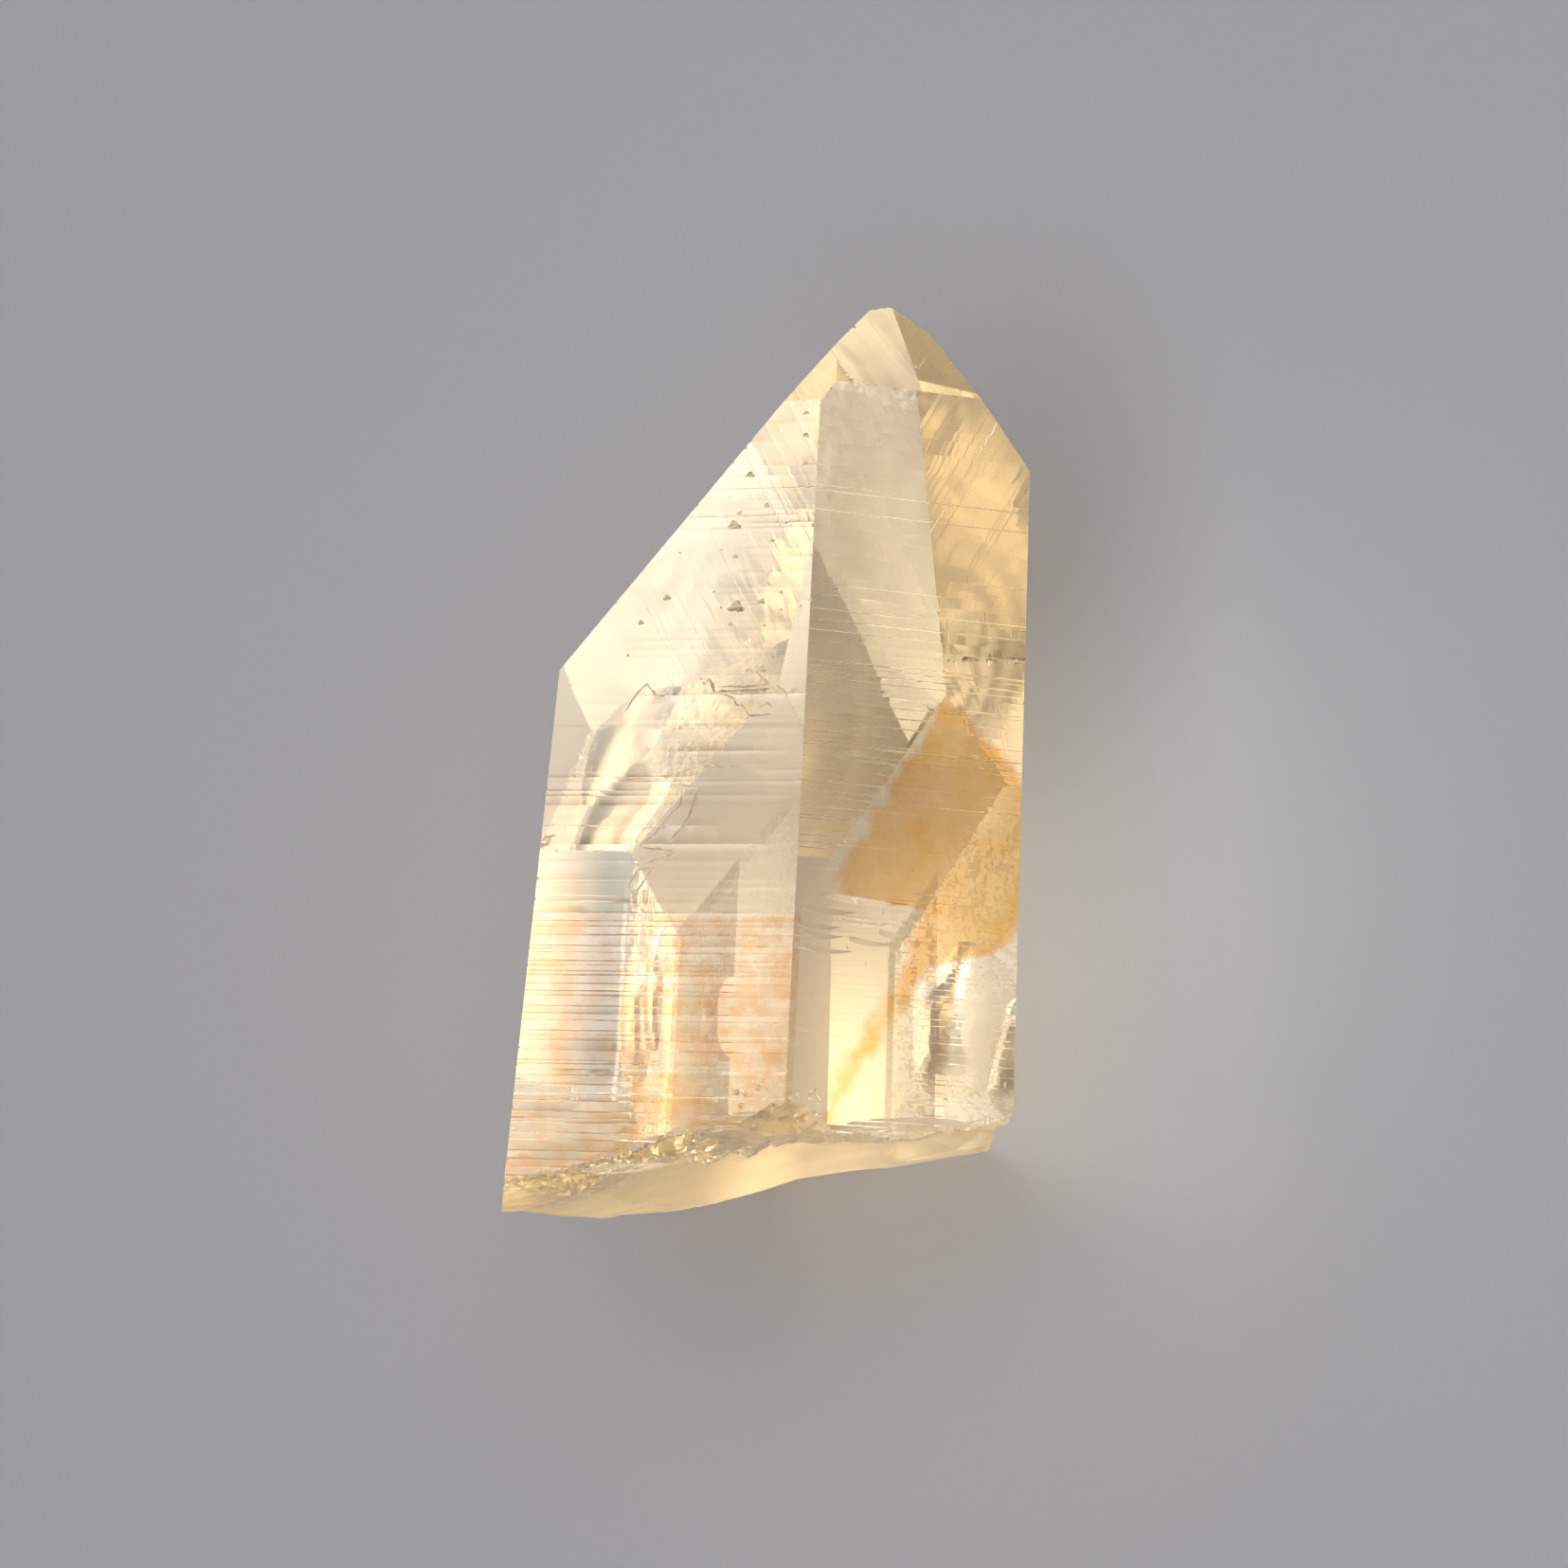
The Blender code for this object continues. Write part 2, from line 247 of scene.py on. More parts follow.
# %% Heights of the rows
STRIATION = {  # (level in mm, strength of the grooves) up each face
    "front_left": ((-13.0, 0.4), (-7.7, 0.5), (-7.5, 0.1), (0.0, 0.06)),
    "front_right": ((-12.0, 0.25), (-9.3, 0.3), (-8.5, 0.7), (2.0, 0.9), (10.0, 0.5), (18.0, 0.12)),
    "left": ((-8.0, 0.4), (0.0, 0.2)), "right": ((-8.0, 0.3), (0.0, 0.2)),
    "back_right": ((-8.0, 0.2), (0.0, 0.1)), "back_left": ((-8.0, 0.2), (0.0, 0.1)),
}
PARTING = -7.6  # below this level in mm the treads lean to the tip
TREAD_LEAN = {"front_left": 1.7, "front_right": 1.2}  # in degrees
GROOVE_DEPTH = 0.011 * MM  # usual depth
LEDGE = 0.03 * MM  # height of the few larger steps
LEDGE_CHANCE = 0.12
LEAN_BACK = 0.85  # what is left of a step one tread further down
SWELL = {"front_left": 0.015 * MM}  # slow waviness of a whole face
LITTLE_SWELL = 0.003 * MM  # and of the others
DEEPEST = 0.12 * MM
PLACES = 49  # columns of the height table, half a millimetre apart


def height_table(side, seed):
    """Heights for each level of a face, at many places across it."""
    levels = levels_on[side]
    rows = np.zeros((len(levels), PLACES))
    base = np.zeros(PLACES)
    spots = np.arange(PLACES) * 0.05
    lean = math.tan(math.radians(TREAD_LEAN.get(side, 0.0)))
    swell = SWELL.get(side, LITTLE_SWELL)
    for k, level in enumerate(levels):
        share = np.interp(level / MM, *zip(*STRIATION[side]))
        gate = np.array([noise.noise(Vector((spot, k * 0.37, seed * 9.0))) for spot in spots])
        gate = np.clip(0.5 + 2.4 * gate, 0.0, 1.0)
        rows[k] = base
        if k % 3 == 2:
            rows[k] -= share * GROOVE_DEPTH * dice.expovariate(1.0) * gate
            if dice.random() < LEDGE_CHANCE:
                base = base - share * LEDGE * dice.uniform(-0.6, 1.0) * gate
        elif k % 3 == 1:
            base = base * LEAN_BACK
        elif level / MM < PARTING and k + 1 < len(levels):
            rows[k] -= lean * (level - levels[k + 1]) * (0.75 + 0.25 * gate)
        places = [Vector((spot * 1.6, level / MM * 0.13, seed * 5.0)) for spot in spots]
        rows[k] += [swell * noise.noise(place) for place in places]
    return np.maximum(rows - rows.max(), -DEEPEST)


def heights_on(side, seed, points):
    """Heights at many points of the crystal's frame, read from the table between its rows and columns."""
    foot = np.array(FACES["prism", side][1])
    turn = np.array(frame_of(("prism", side)).to_3x3())
    local = (points - foot) @ turn
    levels = levels_on[side]
    table = height_table(side, seed)
    row = np.interp(local[:, 1], levels[::-1], np.arange(len(levels))[::-1])
    column = np.clip(local[:, 0] / MM * 2.0 + PLACES / 2, 0.0, PLACES - 1.001)
    r = np.clip(row.astype(int), 0, len(levels) - 2)
    c = column.astype(int)
    dr = row - r
    dc = column - c
    high = table[r, c] * (1.0 - dc) + table[r, c + 1] * dc
    low = table[r + 1, c] * (1.0 - dc) + table[r + 1, c + 1] * dc
    return high * (1.0 - dr) + low * dr


print("treads and grooves on the front right face:", len(levels_on["front_right"]) // 3)

# %% [markdown]
# ### Pushing the rows in
#
# A point of the mesh on one face takes that face's height. A point on an edge has to obey two faces at
# once, and one at a corner obeys three. That is a small set of equations for each point, and the
# shortest move that solves it keeps the edges of the crystal sharp.

# %% Push the rows in


def push_in(bm):
    points = np.array([v.co for v in bm.verts], dtype=float)
    normals = np.array([normal for normal, foot in FACES.values()])
    feet = np.array([foot.dot(normal) for normal, foot in FACES.values()])
    on_face = np.abs(points @ normals.T - feet) < 1e-6
    heights = np.zeros(on_face.shape)
    for seed, (kind, side) in enumerate(FACES):
        if kind == "prism":
            heights[:, seed] = heights_on(side, seed, points)
    for v, mask, height in zip(bm.verts, on_face, heights):
        if mask.any():
            move = np.linalg.lstsq(normals[mask], height[mask], rcond=None)[0]
            v.co += Vector(move)
    return heights.min()


deepest = push_in(blank)
bmesh.ops.triangulate(blank, faces=blank.faces)
print("lowest place on the prism faces, mm:", round(deepest / MM, 3))

# %% [markdown]
# ## The broken end
#
# Quartz has no cleavage, so where it was snapped from the rock it broke like glass: in shell-shaped
# hollows with ripples, and with ragged, splintery ridges that fan out from the place where the break
# started. We describe the fracture as a height over the cross-section: a sloping plane, a few large
# hollows and bulges, many small ones, and the splinters on top.

# %% Fracture surface
BREAK_LEVEL = -40.62 * MM
BREAK_RISE = (0.17, -0.055)  # slope of the break to the right and to the back
BREAK_CELLS = 190
BREAK_REACH = 22.0 * MM
BREAK_JITTER = 0.08 * MM  # breaks up the grid of the fracture's mesh
SCARS = {  # centre x and y, radius, depth in mm (a bulge is negative)
    "front edge": (1.0, -3.0, 4.2, 2.1), "front right": (8.5, 3.0, 6.5, -0.9),
    "front left": (-4.5, 0.0, 5.0, 0.8), "left": (-13.5, 16.0, 7.0, -0.9),
    "middle": (1.5, 19.0, 11.0, 1.7), "back": (4.0, 37.5, 7.0, 0.8),
    "right": (15.0, 19.0, 6.5, 0.7), "back left": (-7.0, 29.0, 9.0, -1.0),
}
RIPPLES = 4
RIPPLE_SHARE = 0.07
SMALL_SCARS = 70
HACKLE = (0.85 * MM, 0.25 * MM)  # height of the splintery ridges on the left and on the right
HACKLE_REACH = (11.0, 16.0)  # they fade out towards the back, between these two depths in mm
HACKLE_START = (0.3, 1.0)  # the break started here, in mm, and the ridges fan out from it

small_scars = []
for i in range(SMALL_SCARS):
    spot = (dice.uniform(-17.0, 18.0), dice.uniform(-1.0, 36.0))
    depth = dice.uniform(0.1, 0.35) * (1.0 if spot[1] < HACKLE_REACH[0] else 0.3)
    small_scars.append((*spot, dice.uniform(0.9, 3.0), depth))


def scar_depth(x, y, scar):
    """How deep one shell-shaped scar is at a place on the cross-section."""
    scar_x, scar_y, radius, depth = scar
    share = math.hypot(x - scar_x * MM, y - scar_y * MM) / (radius * MM)
    if share >= 1.0:
        return 0.0
    ripple = RIPPLE_SHARE * math.sin(share * math.tau * RIPPLES)
    return depth * MM * ((1.0 - share * share) + ripple * (1.0 - share))


def splinters(spot):
    """Height of the splintery ridges at a place in mm."""
    reach = math.hypot(spot.x - HACKLE_START[0], spot.y - HACKLE_START[1])
    angle = math.atan2(spot.y - HACKLE_START[1], spot.x - HACKLE_START[0])
    fan = noise.noise(Vector((angle * 7.0, reach * 0.2, 3.0)))
    fan += 0.5 * noise.noise(Vector((angle * 19.0, reach * 0.4, 7.0)))
    ragged = max(0.0, 0.4 + noise.noise(spot * 0.16)) * min(1.0, reach / 2.0)
    ragged *= np.interp(spot.y, HACKLE_REACH, (1.0, 0.12))
    rough = 0.45 * noise.noise(spot * 2.7) + 0.2 * abs(noise.noise(spot * 6.1))
    return np.interp(spot.x, (-3.0, 1.0), HACKLE) * ragged * (fan + rough)


def break_height(x, y):
    z = BREAK_LEVEL + BREAK_RISE[0] * x + BREAK_RISE[1] * (y - MIDDLE.y)
    z += sum(scar_depth(x, y, scar) for scar in SCARS.values())
    z += max(scar_depth(x, y, scar) for scar in small_scars)
    return z + splinters(Vector((x, y, 0.0)) / MM)


print("shell-shaped hollows in the fracture:", len(SCARS) + len(small_scars))

# %% [markdown]
# ## Taking shapes off the crystal
#
# Everything that broke off or was etched away is a closed cutter, which a Boolean takes off the crystal.
# The finish needs to know which faces are a fracture, a chip or an etched mark. So each cutter carries a
# named 1 on its own faces, and the faces that it leaves on the crystal inherit it.

# %% Take the broken part off
BREAK_THICKNESS = 25.0 * MM


def break_cutter():
    bm = bmesh.new()
    bmesh.ops.create_grid(bm, x_segments=BREAK_CELLS, y_segments=BREAK_CELLS, size=BREAK_REACH)
    for v in bm.verts:
        v.co.x += dice.uniform(-1.0, 1.0) * BREAK_JITTER
        v.co.y += MIDDLE.y + dice.uniform(-1.0, 1.0) * BREAK_JITTER
        v.co.z = break_height(v.co.x, v.co.y)
    lower = bmesh.ops.extrude_face_region(bm, geom=bm.faces[:])["geom"]
    for item in lower:
        if isinstance(item, bmesh.types.BMVert):
            item.co.z = BREAK_LEVEL - BREAK_THICKNESS
    bmesh.ops.triangulate(bm, faces=bm.faces)
    return bm


def new_object(name, bm):
    bmesh.ops.recalc_face_normals(bm, faces=bm.faces)
    mesh = bpy.data.meshes.new(name)
    bm.to_mesh(mesh)
    bm.free()
    obj = bpy.data.objects.new(name, mesh)
    bpy.context.scene.collection.objects.link(obj)
    return obj


def take_off(target, name, bm, mark):
    """Takes a cutter's shape out of the target, applies the cut, and marks the faces that it leaves."""
    cutter = new_object(name, bm)
    cut_faces = cutter.data.attributes.new(mark, "FLOAT", "FACE")
    cut_faces.data.foreach_set("value", [1.0] * len(cutter.data.polygons))
    boolean = target.modifiers.new(name, "BOOLEAN")
    boolean.operation = "DIFFERENCE"
    boolean.solver = "MANIFOLD"
    boolean.object = cutter
    bpy.context.view_layer.update()
    cut = bpy.data.meshes.new_from_object(target.evaluated_get(bpy.context.evaluated_depsgraph_get()))
    target.modifiers.clear()
    target.data = cut
    bpy.data.objects.remove(cutter)
    print(name, "taken off:", len(cut.polygons), "faces")


crystal = new_object("quartz_point", blank)
take_off(crystal, "broken end", break_cutter(), "broken")

# %% [markdown]
# ## Etch pits
#
# Hot fluids dissolved small three-cornered pits into the upper front left face. A pit has rounded sides,
# and its deepest place lies a little above its middle. Each one is a small cone with a three-lobed rim
# that reaches out of the surface, because a cutter has to stick out.

# %% Etch pits
PITS = (  # across, up, size in mm
    (6.7, 20.5, 0.32), (6.8, 19.2, 0.37), (6.9, 17.6, 0.27), (3.4, 17.0, 0.48), (7.2, 16.4, 0.16),
    (4.6, 15.2, 0.37), (2.9, 14.8, 0.32), (2.6, 14.1, 0.69), (5.9, 14.2, 0.21), (5.1, 13.2, 0.27),
    (-0.8, 12.6, 0.21), (1.9, 12.7, 0.16), (2.8, 12.3, 0.32), (-1.4, 10.0, 0.42), (-3.0, 8.6, 0.37),
    (4.7, 9.7, 0.42), (5.9, 10.2, 0.27), (3.1, 9.4, 0.85), (2.1, 9.4, 0.16), (2.8, 8.4, 0.27),
    (5.0, 8.3, 0.21), (1.6, 10.3, 0.16), (6.0, 9.2, 0.21), (5.7, 6.5, 0.21), (7.2, 9.4, 0.21),
    (5.0, 5.8, 0.48), (4.2, 5.7, 0.42), (-3.7, 6.7, 0.21), (1.3, 5.2, 0.32),
)
PIT_DEPTH = 0.6  # depth as a share of the size
PIT_POINTS = 15


def add_pit(bm, frame, across, up, size):
    """A three-cornered pit with curved sides, deepest above its middle."""
    lean = dice.uniform(-0.35, 0.35)
    deep = Vector((across + 0.1 * size, up + 0.12 * size, -PIT_DEPTH * size)) * MM
    tip = bm.verts.new(frame @ deep)
    ring = []
    for i in range(PIT_POINTS):
        angle = math.tau * i / PIT_POINTS
        reach = 0.5 * size * (1.0 + 0.3 * math.cos(3.0 * (angle - lean) + math.pi / 2))
        rim = Vector((across + 1.15 * reach * math.cos(angle), up + 0.75 * reach * math.sin(angle), 0.0)) * MM
        ring.append(bm.verts.new(frame @ (deep + (rim - deep) * 1.5)))
    bm.faces.new(ring)
    for i in range(PIT_POINTS):
        bm.faces.new((tip, ring[i], ring[(i + 1) % PIT_POINTS]))


marks = bmesh.new()
for across, up, size in PITS:
    add_pit(marks, left_frame, across, up, size)
print("etch pits:", len(PITS))

# %% [markdown]
# ## Etched lines
#
# Further down, the same fluids followed weak lines in the crystal and left thin zigzag cracks. Each is a
# V-shaped groove along a few straight stretches, a little wavy and narrower at its ends. The groove's
# cutter is a row of three-cornered ribs joined to each other.

# %% Etched lines
ETCHED_LINES = (  # (across, up) of the points of each line on the left face, in mm
    ((-3.6, 3.4), (-3.1, 4.3), (-2.35, 5.05), (-1.7, 4.4), (-1.1, 4.35)),
    ((1.05, 5.4), (1.4, 5.05), (1.7, 5.3), (2.1, 4.55), (3.25, 4.6), (5.6, 4.65)),
    ((2.25, 4.85), (4.4, 4.83), (5.6, 4.95)),
    ((3.8, 5.45), (4.4, 5.8), (5.55, 4.95)),
    ((2.25, 4.45), (3.2, 4.25), (3.55, 3.8), (4.0, 3.7), (4.4, 3.15), (5.8, 3.2)),
    ((4.85, 3.45), (5.45, 3.9), (5.85, 3.6)),
    ((6.05, 4.85), (6.7, 4.4), (7.3, 4.7)),
    ((-0.6, 2.2), (-0.1, 2.7)),
    ((1.45, 0.25), (4.1, 0.3)),
    ((1.1, 0.55), (2.0, 0.5)),
    ((0.15, 0.0), (1.0, 0.1)),
    ((-1.25, -0.25), (-0.35, -0.35)),
    ((-3.9, -0.5), (-2.2, -0.4)),
    ((-0.6, -1.8), (-0.1, -1.7)),
    ((-0.3, -0.8), (1.55, -0.95), (1.3, -1.6), (1.0, -2.6), (0.45, -3.4), (-0.1, -4.0)),
    ((0.45, -1.0), (0.4, -1.95), (-0.45, -2.75), (-1.25, -3.75), (-2.15, -4.3)),
    ((-0.9, -3.2), (-0.2, -3.05)),
    ((-2.05, -4.3), (0.25, -4.6)),
    ((-1.65, -5.3), (0.25, -4.75)),
    ((-2.15, -5.6), (-1.15, -5.55), (-2.3, -7.3)),
    ((-2.65, -6.75), (-2.05, -5.65)),
)
LINE_WIDTH = (0.1, 0.2)  # in mm
LINE_DEPTH = 0.4  # as a share of the width
LINE_STEP = 0.35  # distance between two ribs in mm
LINE_WOBBLE = 0.03  # in mm


def walk_along(points):
    """Evenly spaced places along a line of a few straight stretches."""
    path = []
    for (x0, y0), (x1, y1) in zip(points, points[1:]):
        count = max(1, round(math.hypot(x1 - x0, y1 - y0) / LINE_STEP))
        path += [(x0 + (x1 - x0) * k / count, y0 + (y1 - y0) * k / count) for k in range(count)]
    return path + [points[-1]]


def add_line(bm, frame, points, width):
    """A V-shaped groove along a line, a little wavy, narrower at its ends."""
    path = walk_along(points)
    ribs = []
    for i, (x, y) in enumerate(path):
        before, after = path[max(i - 1, 0)], path[min(i + 1, len(path) - 1)]
        run = Vector((after[0] - before[0], after[1] - before[1])).normalized()
        half = 0.5 * width * dice.uniform(0.6, 1.4) * (0.4 if i in (0, len(path) - 1) else 1.0)
        x += dice.uniform(-LINE_WOBBLE, LINE_WOBBLE)
        y += dice.uniform(-LINE_WOBBLE, LINE_WOBBLE)
        side_x, side_y = -2.0 * run.y * half, 2.0 * run.x * half
        deep = -2.0 * half * LINE_DEPTH
        rib = ((x, y, deep), (x + side_x, y + side_y, -deep), (x - side_x, y - side_y, -deep))
        ribs.append([bm.verts.new(frame @ (Vector(p) * MM)) for p in rib])
    bm.faces.new(ribs[0])
    bm.faces.new(ribs[-1])
    for a, b in zip(ribs, ribs[1:]):
        for k in range(3):
            bm.faces.new((a[k], a[(k + 1) % 3], b[(k + 1) % 3], b[k]))


for points in ETCHED_LINES:
    add_line(marks, left_frame, points, dice.uniform(*LINE_WIDTH))
print("etched lines:", len(ETCHED_LINES))

# %% [markdown]
# ## Pointed steps
#
# On the front right face, where the face's growth changed its pace, the layers end in low steps whose
# ends are pointed like the prow of a boat. Each step is a wedge that is deepest along its curved lower
# line and runs out to nothing at its upper one.

# %% Pointed steps
POINTED = (  # left end, level and length of each step, in mm
    (-7.3, -6.6, 2.3), (-5.6, -6.9, 5.7), (-7.0, -7.6, 3.6), (-4.7, -8.1, 3.9), (-7.4, -8.5, 3.0),
    (-6.9, -9.0, 2.6), (-3.9, -9.2, 2.9), (-6.9, -9.8, 3.3), (-1.9, -8.7, 2.1),
)
POINTED_DEPTH = 0.09 * MM
POINTED_SAG = 0.32  # how far the lower line hangs down, in mm
POINTED_HEIGHT = 0.3  # in mm, at the left end
ALONG_STEP = (0.0, 0.2, 0.45, 0.7, 0.88, 1.0)
OUTSIDE = 0.2 * MM  # how far a cutter stands clear of the surface


def add_wedge(bm, frame, lower, upper, depth):
    """A shelf that is deepest along its lower line and runs out at its upper one."""
    outline = [(x, y, -depth) for x, y in lower] + [(x, y, 0.0) for x, y in reversed(upper)]
    floor = [bm.verts.new(frame @ Vector((x * MM, y * MM, z))) for x, y, z in outline]
    roof = [bm.verts.new(frame @ Vector((x * MM, y * MM, OUTSIDE))) for x, y, z in outline]
    half = len(lower)
    for i in range(half - 1):
        j = 2 * half - 1 - i
        bm.faces.new((floor[i], floor[i + 1], floor[j - 1], floor[j]))
        bm.faces.new((roof[i], roof[i + 1], roof[j - 1], roof[j]))
    for i in range(2 * half):
        j = (i + 1) % (2 * half)
        bm.faces.new((floor[i], floor[j], roof[j], roof[i]))


for x, y, length in POINTED:
    lower = [(x + length * s, y - POINTED_SAG * math.sin(math.pi * s) * (1.0 - 0.3 * s)) for s in ALONG_STEP]
    upper = [(x + length * s, y + POINTED_HEIGHT * (1.0 - s)) for s in ALONG_STEP]
    add_wedge(marks, right_frame, lower, upper, POINTED_DEPTH)
print("pointed steps:", len(POINTED))

# %% [markdown]
# ## Shell-shaped scars
#
# Two hard knocks on the back of the lower end took off shallow flakes. Each left a shell-shaped hollow
# with fine ripples. Seen through the crystal from the front they act as lenses and flash brightly.

# %% Shell-shaped scars
SHELLS = {  # face, across, up, radius, depth in mm
    "under the right foot": ("back_right", 3.4, -12.9, 4.5, 0.8),
    "under the right edge": ("back_right", -3.6, -14.6, 4.6, 0.8),
}
SHELL_RINGS = 20
SHELL_POINTS = 56
SHELL_RIPPLE = 0.005 * MM


def shell_place(across, up, radius, depth, share, angle):
    """A place on a shell-shaped hollow, at a share of its radius and in a direction."""
    uneven = 1.0 + 0.12 * math.sin(2.0 * angle + across) + 0.06 * math.sin(5.0 * angle + up)
    reach = radius * share * uneven
    ripple = SHELL_RIPPLE * math.sin(share * 31.0 + 1.5 * math.sin(angle)) * min(1.0, 4.0 * abs(1.0 - share))
    height = -depth * (1.0 - share ** 2) * MM + ripple
    return Vector(((across + reach * math.cos(angle)) * MM, (up + reach * math.sin(angle)) * MM, height))


def add_shell(bm, frame, across, up, radius, depth):
    """A cutter that leaves a shallow shell-shaped hollow with fine ripples."""
    middle = bm.verts.new(frame @ (Vector((across, up, -depth)) * MM))
    angles = [math.tau * k / SHELL_POINTS for k in range(SHELL_POINTS)]
    rings = []
    for i in range(1, SHELL_RINGS + 2):
        share = i / SHELL_RINGS
        places = [shell_place(across, up, radius, depth, share, angle) for angle in angles]
        rings.append([bm.verts.new(frame @ place) for place in places])
    for k in range(SHELL_POINTS):
        j = (k + 1) % SHELL_POINTS
        bm.faces.new((middle, rings[0][k], rings[0][j]))
        for inner, outer in zip(rings, rings[1:]):
            bm.faces.new((inner[k], outer[k], outer[j], inner[j]))
    bm.faces.new(rings[-1])


for face, across, up, radius, depth in SHELLS.values():
    add_shell(marks, frame_of(("prism", face)), across, up, radius, depth)
take_off(crystal, "etched marks and scars", marks, "etched")
print("shell-shaped scars:", len(SHELLS))

# %% [markdown]
# ## Chips
#
# The edges of a natural crystal are never perfect: small flakes were knocked off them, most of all off
# the front edge and the rim of the broken end. A chip is what is left when an irregular lump is taken
# off, so we throw a few hundred lumps at the edges, and put the larger ones where they belong.

# %% Chips along the edges
CHIP_COUNT = 420
CHIP_SIZE = (0.08, 0.34)  # in mm
CHIP_GAP = 1.6  # least distance between two chips, in chip sizes
FRONT_EDGE_SHARE = 6.0  # how much likelier a chip is on the front edge
BIG_CHIPS = {  # face, across, up, size in mm
    "left edge": ("front_left", -8.2, -4.0, 0.95), "top step": ("front_left", 7.7, 20.9, 0.4),
    "base of front edge": ("front_left", 8.0, -18.9, 0.9), "right foot": ("front_right", 7.5, -19.3, 1.0),
    "left shoulder": ("front_left", -8.3, 5.6, 0.35), "slope notch": ("front_left", -1.3, 14.1, 0.35),
}


def add_chip(bm, middle, size, rounds=1):
    """A lump whose surface leaves a shell-shaped chip when it is taken off."""
    turn = Matrix.Rotation(dice.uniform(0.0, math.tau), 4, Vector([dice.gauss(0, 1) for _ in range(3)]))
    shape = Matrix.Diagonal((dice.uniform(0.8, 1.5), dice.uniform(0.7, 1.1), dice.uniform(0.5, 0.8), 1.0))
    place = Matrix.Translation(middle) @ turn @ shape
    made = bmesh.ops.create_icosphere(bm, subdivisions=rounds, radius=size, matrix=place)
    for v in made["verts"]:
        v.co += Vector([dice.uniform(-0.12, 0.12) * size for _ in range(3)])


chips = bmesh.new()
placed = []
for face, across, up, size in BIG_CHIPS.values():
    middle = frame_of(("prism", face)) @ (Vector((across, up, 0.3 * size)) * MM)
    placed.append((middle, size * MM))
    add_chip(chips, middle, 0.6 * size * MM, 2)
front = FACES["prism", "front_left"][0] + FACES["prism", "front_right"][0]
share = []
for start, end, (a, b) in edges_of_blank:
    share.append((end - start).length * (FRONT_EDGE_SHARE if (a + b - front).length < 0.1 else 1.0))
while len(placed) < CHIP_COUNT:
    start, end, sides = dice.choices(edges_of_blank, share)[0]
    outward = (sides[0] + sides[1]).normalized()
    spot = start.lerp(end, dice.random())
    size = dice.uniform(*CHIP_SIZE) * dice.uniform(0.5, 1.0) * MM
    near = any((spot - other).length < CHIP_GAP * (size + reach) for other, reach in placed)
    if near or spot.z < BREAK_LEVEL + 1.5 * MM:
        continue
    placed.append((spot, size))
    add_chip(chips, spot + outward * 0.6 * size, size)
print("chips along the edges:", len(placed))

# %% [markdown]
# Some places were bruised by many small knocks, and the thin rim of the fracture crumbled all the way
# round. For a chip on the rim we pick a place across a prism face and step down that face until we meet
# the fracture; three steps are enough, because the fracture is nearly square to the faces.

# %% Bruises and the rim of the fracture
CLUSTERS = (  # bruised places: face, across, up, reach in mm, number of chips
    ("front_left", 5.6, -18.4, 1.1, 26), ("front_right", -6.4, -18.2, 0.7, 12),
    ("front_right", 5.6, -18.0, 1.2, 22),
)
RIM_CHIPS = 220
RIM_CHIP_SIZE = (0.12, 0.5)  # in mm
RIM_REACH = 11.0  # half the width that is searched on a face, in mm

for face, middle_across, middle_up, reach, count in CLUSTERS:
    for _ in range(count):
        flat = Vector((dice.gauss(middle_across, reach), dice.gauss(middle_up, 0.5 * reach), 0.2))
        add_chip(chips, frame_of(("prism", face)) @ (flat * MM), dice.uniform(0.2, 0.45) * MM)
rim = 0
while rim < RIM_CHIPS:
    side = dice.choice(list(SIDES))
    normal, foot = FACES["prism", side]
    turn = frame_of(("prism", side))
    across = dice.uniform(-RIM_REACH, RIM_REACH)
    up = -20.0
    for _ in range(3):
        spot = turn @ (Vector((across, up, 0.0)) * MM)
        up += (break_height(spot.x, spot.y) - spot.z) / MM
    if any((spot - other_foot).dot(other) > 1e-6 for other, other_foot in FACES.values()):
        continue
    size = dice.uniform(*RIM_CHIP_SIZE) * MM
    add_chip(chips, spot + (normal - Vector((0.0, 0.0, 1.0))).normalized() * 0.5 * size, size)
    rim += 1
take_off(crystal, "chips", chips, "chipped")
print("bruised places:", len(CLUSTERS), "chips round the fracture:", rim)

# %% [markdown]
# ## Fluid inclusions
#
# Small drops of the fluid that the crystal grew from are shut in behind the front right face, and they
# glitter like specks. A drop is a hollow in the quartz, so its little ball of faces is turned inside
# out: the quartz is outside it.

# %% Fluid inclusions
INCLUSIONS = 110
INCLUSION_SIZE = (0.02, 0.07)  # radius in mm
INCLUSION_DEPTH = (0.2, 2.5)  # in mm
surface = bmesh.new()
surface.from_mesh(crystal.data)
bmesh.ops.triangulate(surface, faces=surface.faces)
for i in range(INCLUSIONS):
    across = dice.triangular(-5.0, 8.0, 5.0)
    up = dice.triangular(-17.0, 2.0, -8.0)
    spot = right_frame @ (Vector((across, up, -dice.uniform(*INCLUSION_DEPTH))) * MM)
    size = dice.uniform(*INCLUSION_SIZE) * MM
    made = bmesh.ops.create_icosphere(surface, subdivisions=1, radius=size, matrix=Matrix.Translation(spot))
    bmesh.ops.reverse_faces(surface, faces=list({face for v in made["verts"] for face in v.link_faces}))
print("triangles:", len(surface.faces), "volume, cm3:", round(surface.calc_volume() * 1e6, 2))
surface.to_mesh(crystal.data)
surface.free()

# %% [markdown]
# ## Smooth curves and sharp creases
#
# The hollows should look smooth and the edges crisp, so an edge of the mesh is smooth where its two faces
# meet at a small angle. The fracture may bend more, and the line where it meets the natural faces is
# always sharp. Every point also stores its place in the upright crystal in mm, for the finish.

